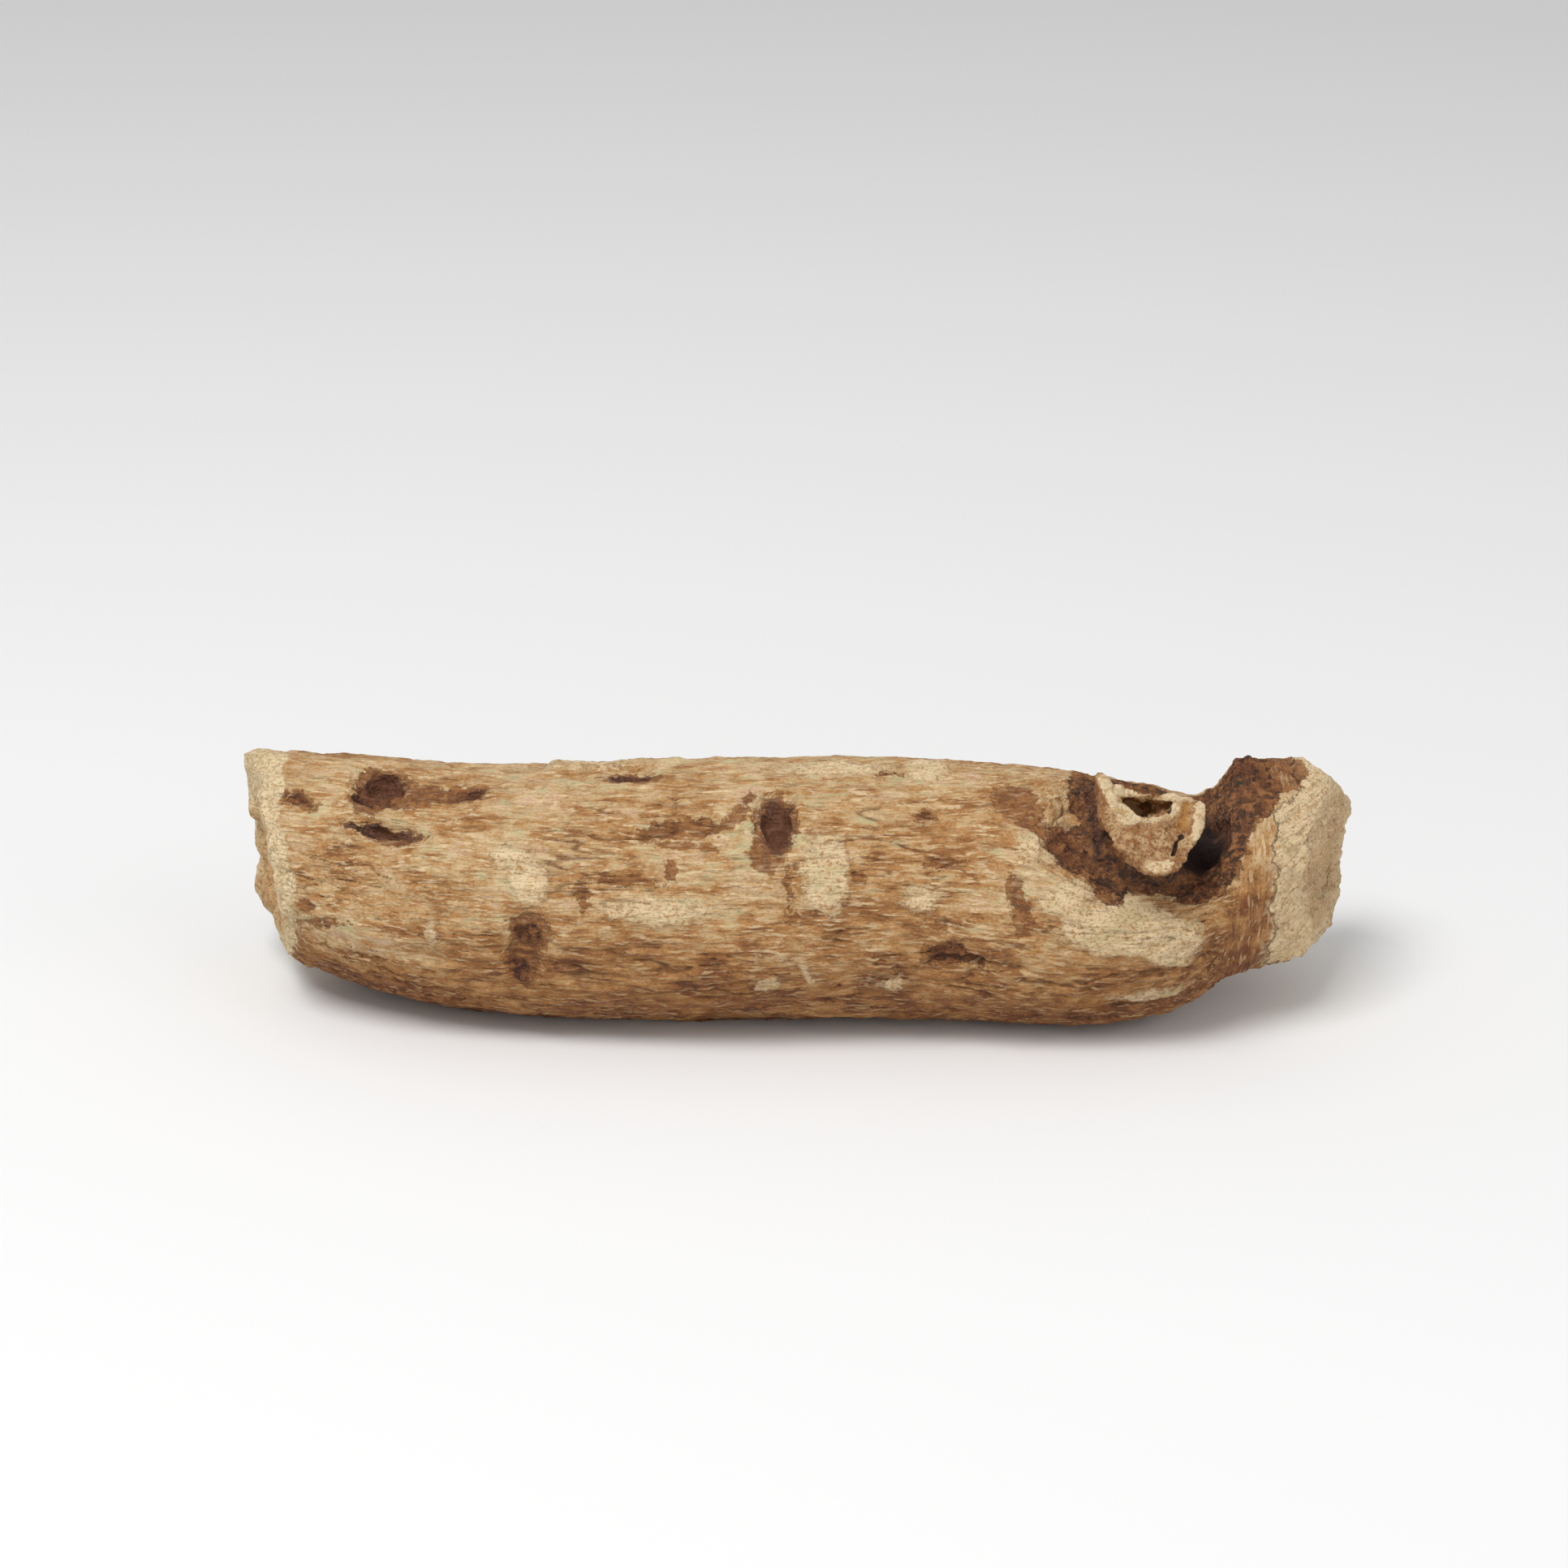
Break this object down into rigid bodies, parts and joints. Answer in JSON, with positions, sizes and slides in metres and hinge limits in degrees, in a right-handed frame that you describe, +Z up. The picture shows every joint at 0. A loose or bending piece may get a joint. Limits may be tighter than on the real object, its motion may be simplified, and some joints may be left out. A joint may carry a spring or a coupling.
{
  "type": "turpeth root",
  "caption": "Dried turpeth root, a thick bowed cylindrical piece with cut ends, a hollow side-root stump in a sunk collar, knots and shallow furrows, lying on its side",
  "frame": {"origin": "under the middle of the root, on the surface that it lies on", "axes": "X runs along the root, from the plain cut end to the flared one beside the side-root stump; Y points away from the picture's viewer; Z is up"},
  "size_m": [0.1358, 0.036, 0.0339],
  "materials": {
    "dried_bark": "dry, dull, fibrous"
  },
  "bodies": {
    "root": {"root": "dried_bark"}
  },
  "joints": []
}
